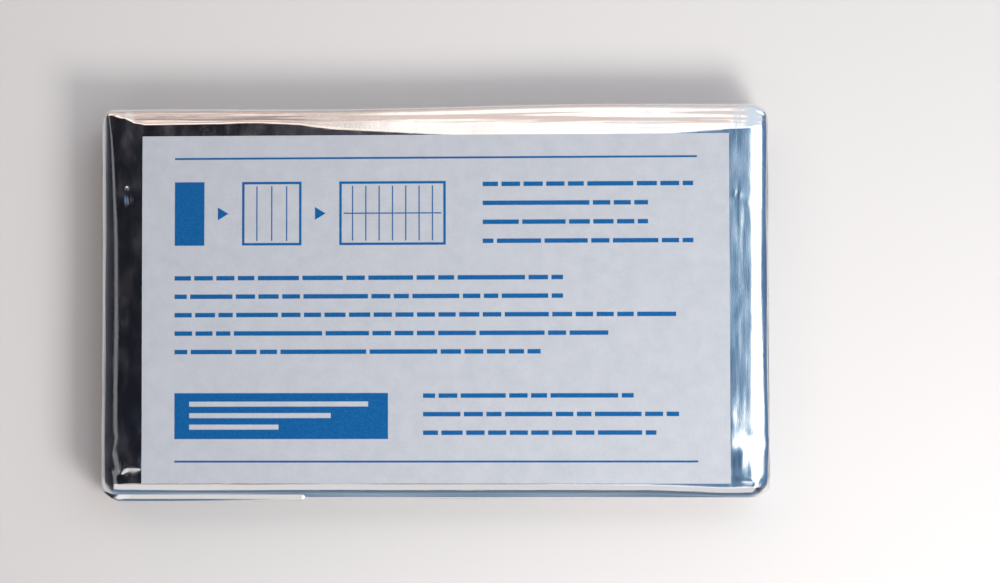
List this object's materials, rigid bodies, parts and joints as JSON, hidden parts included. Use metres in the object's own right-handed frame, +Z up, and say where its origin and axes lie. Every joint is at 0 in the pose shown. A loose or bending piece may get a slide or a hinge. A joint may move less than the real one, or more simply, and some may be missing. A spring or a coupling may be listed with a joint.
{
  "type": "folded emergency foil blanket",
  "caption": "Metallised film blanket folded back and forth into a flat pocket-size pack, with a bare paper label leaf lying on its front.",
  "frame": {"origin": "middle of the pack's underside, on the surface that it rests on", "axes": "+X along the long side of the pack, +Y across it, +Z up through the stack of leaves, out of the label"},
  "size_m": [0.1344, 0.0785, 0.0154],
  "materials": {
    "metallised_film": "thin crinkled mirror film",
    "label_paper": "matt cool white paper with a plain blue print"
  },
  "bodies": {
    "root": {"foil_sheet": "metallised_film", "paper_label": "label_paper"}
  },
  "joints": []
}
